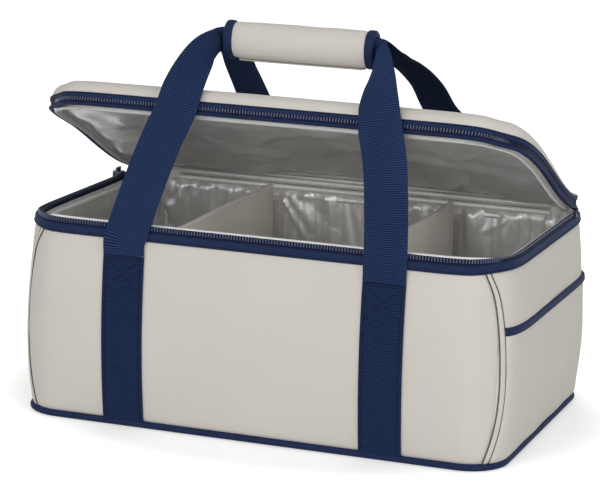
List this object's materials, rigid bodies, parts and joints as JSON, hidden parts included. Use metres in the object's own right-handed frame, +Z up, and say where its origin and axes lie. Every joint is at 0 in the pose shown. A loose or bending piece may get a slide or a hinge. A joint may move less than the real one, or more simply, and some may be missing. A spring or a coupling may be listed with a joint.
{
  "type": "food delivery bag",
  "caption": "Soft insulated carry box with a zipped lid, webbing handle loops joined by a padded wrap grip, a side slip pocket and padded dividers that can be reset.",
  "frame": {"origin": "on the floor under the middle of the base", "axes": "+X along the long side, to the right as seen from the front; -Y towards the front; +Z up"},
  "size_m": [0.4526, 0.3062, 0.3503],
  "materials": {
    "canvas": "smooth coated cloth, matte, greige",
    "navy_trim": "smooth navy binding and tape",
    "navy_webbing": "ribbed navy webbing",
    "silver_lining": "silver-grey coated lining, satin",
    "divider_cloth": "matte grey-beige cloth",
    "foam": "closed-cell foam",
    "board": "stiffening board",
    "zip_teeth": "moulded navy zip teeth",
    "zip_metal": "die-cast grey",
    "hook_tape": "hook and loop tape"
  },
  "bodies": {
    "bag": {"base_panel": "canvas", "base_board": "board", "base_foam": "foam", "base_liner": "silver_lining", "base_piping": "navy_trim", "front_panel": "canvas", "front_foam": "foam", "front_liner": "silver_lining", "right_panel": "canvas", "right_foam": "foam", "right_liner": "silver_lining", "back_panel": "canvas", "back_foam": "foam", "back_liner": "silver_lining", "left_panel": "canvas", "left_foam": "foam", "left_liner": "silver_lining", "front_left_welt": "canvas", "front_right_welt": "canvas", "back_right_welt": "canvas", "back_left_welt": "canvas", "pocket_panel": "canvas", "pocket_binding": "navy_trim", "rim_binding": "navy_trim", "rim_lining_edge": "silver_lining", "body_zip_tape": "navy_trim", "body_zip_teeth": "zip_teeth", "hinge_tape": "navy_trim", "left_zip_stop": "zip_metal", "right_zip_stop": "zip_metal", "hinge_lining_band": "silver_lining", "front_left_strap": "navy_webbing", "front_right_strap": "navy_webbing", "back_left_strap": "navy_webbing", "back_right_strap": "navy_webbing"},
    "lid": {"lid_panel": "canvas", "lid_foam": "foam", "lid_liner": "silver_lining", "lid_binding": "navy_trim", "lid_lining_edge": "silver_lining", "lid_zip_tape": "navy_trim", "lid_zip_teeth": "zip_teeth", "lid_hinge_tape": "navy_trim"},
    "front_loop": {"front_handle": "navy_webbing"},
    "rear_loop": {"rear_handle": "navy_webbing", "grip_wrap": "canvas", "grip_left_binding": "navy_trim", "grip_right_binding": "navy_trim", "grip_loop_tape": "hook_tape"},
    "flap": {"grip_flap": "canvas", "grip_hook_tape": "hook_tape"},
    "slider": {"zip_slider": "zip_metal"},
    "pull": {"zip_pull": "zip_metal"},
    "left_partition": {"left_divider": "divider_cloth", "left_divider_front_tape": "hook_tape", "left_divider_back_tape": "hook_tape"},
    "right_partition": {"right_divider": "divider_cloth", "right_divider_front_tape": "hook_tape", "right_divider_back_tape": "hook_tape"}
  },
  "joints": [
    {"name": "lid_hinge", "type": "hinge", "parent": "bag", "child": "lid", "pos_m": [0, 0.142, 0.18], "axis": [-1, 0, 0], "range_deg": [-19.7, 0]},
    {"name": "front_handle_fold", "type": "hinge", "parent": "bag", "child": "front_loop", "pos_m": [0, -0.1478, 0.153], "axis": [1, 0, 0], "range_deg": [0, 140], "deforming": ["grip_wrap", "grip_left_binding", "grip_right_binding", "grip_loop_tape"]},
    {"name": "rear_handle_fold", "type": "hinge", "parent": "bag", "child": "rear_loop", "pos_m": [0, 0.1478, 0.153], "axis": [-1, 0, 0], "range_deg": [0, 150], "deforming": ["grip_wrap", "grip_left_binding", "grip_right_binding", "grip_loop_tape"]},
    {"name": "grip_flap_hinge", "type": "hinge", "parent": "rear_loop", "child": "flap", "pos_m": [0.009, -0.0521, 0.3401], "axis": [1, 0, 0], "range_deg": [0, 110]},
    {"name": "zip_slider_slide", "type": "slide", "parent": "bag", "child": "slider", "axis": [0, -1, 0], "range_m": [0, 0.12]},
    {"name": "zip_pull_swing", "type": "hinge", "parent": "slider", "child": "pull", "pos_m": [-0.2246, 0.07, 0.1808], "axis": [0, 1, 0], "range_deg": [0, 120]},
    {"name": "left_divider_slide", "type": "slide", "parent": "bag", "child": "left_partition", "axis": [1, 0, 0], "range_m": [-0.04, 0.04]},
    {"name": "right_divider_slide", "type": "slide", "parent": "bag", "child": "right_partition", "axis": [1, 0, 0], "range_m": [-0.04, 0.04]}
  ]
}
